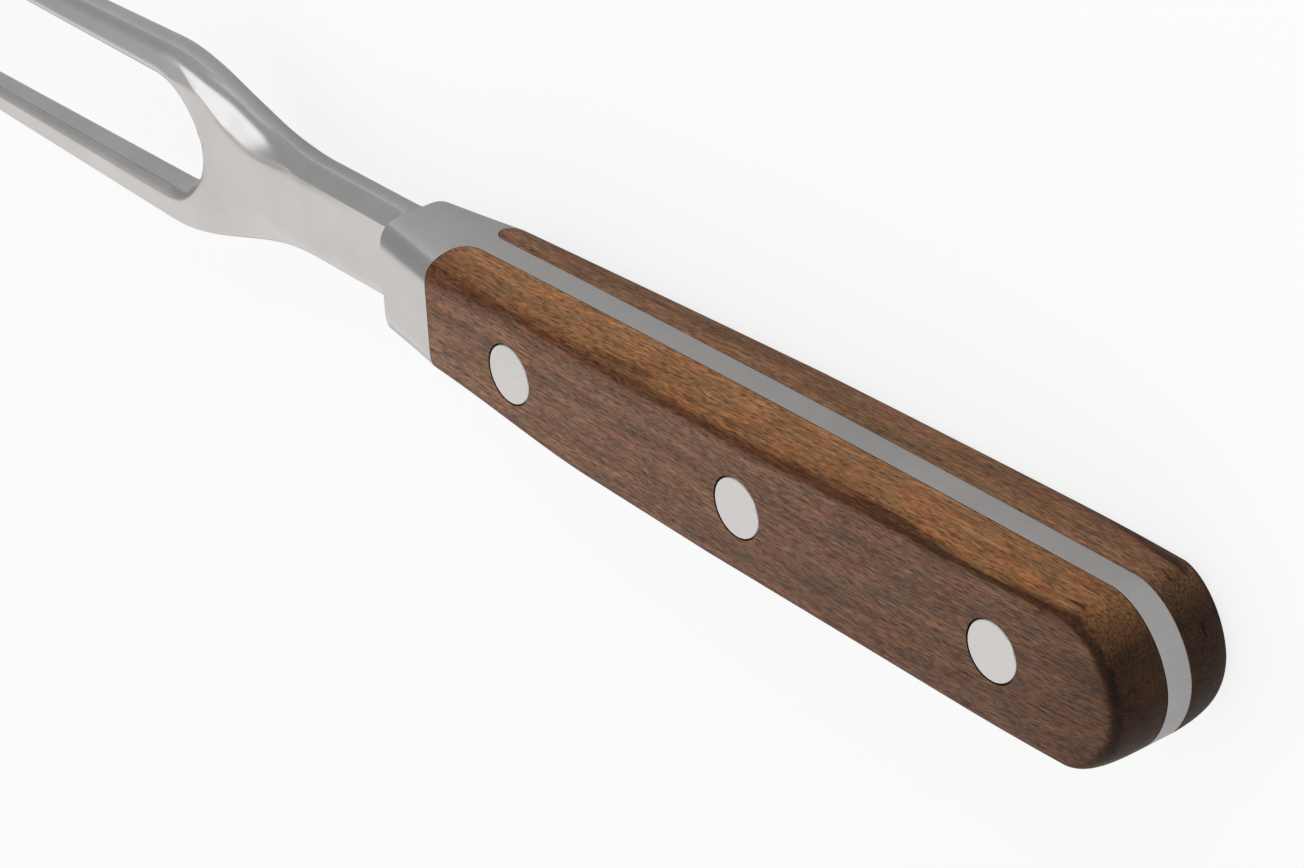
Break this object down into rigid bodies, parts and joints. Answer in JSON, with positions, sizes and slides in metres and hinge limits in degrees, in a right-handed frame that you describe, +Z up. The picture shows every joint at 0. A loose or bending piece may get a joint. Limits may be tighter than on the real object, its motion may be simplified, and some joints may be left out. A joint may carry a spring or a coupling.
{
  "type": "carving fork",
  "caption": "Carving fork with long straight tines, a forged bolster and full tang, and flat wooden handle scales held by flush rivets, for holding meat while it is cut.",
  "frame": {"origin": "bottom centre of the bounding box of the fork lying on its side, on the plane of the lower scale's flat side", "axes": "+X from the butt to the tine tips, -Y to the spine of the handle, +Z up, from the lower scale to the upper one"},
  "size_m": [0.2992, 0.024, 0.018],
  "materials": {
    "brushed_steel": "satin, brushed across the tang's edge",
    "oiled_wood": "oiled dark walnut, smooth with open pores",
    "rivet_steel": "satin, ground flush"
  },
  "bodies": {
    "root": {"fork_forging": "brushed_steel", "upper_scale": "oiled_wood", "lower_scale": "oiled_wood", "rear_rivet_tube": "rivet_steel", "rear_rivet_pin": "rivet_steel", "middle_rivet_tube": "rivet_steel", "middle_rivet_pin": "rivet_steel", "front_rivet_tube": "rivet_steel", "front_rivet_pin": "rivet_steel"}
  },
  "joints": []
}
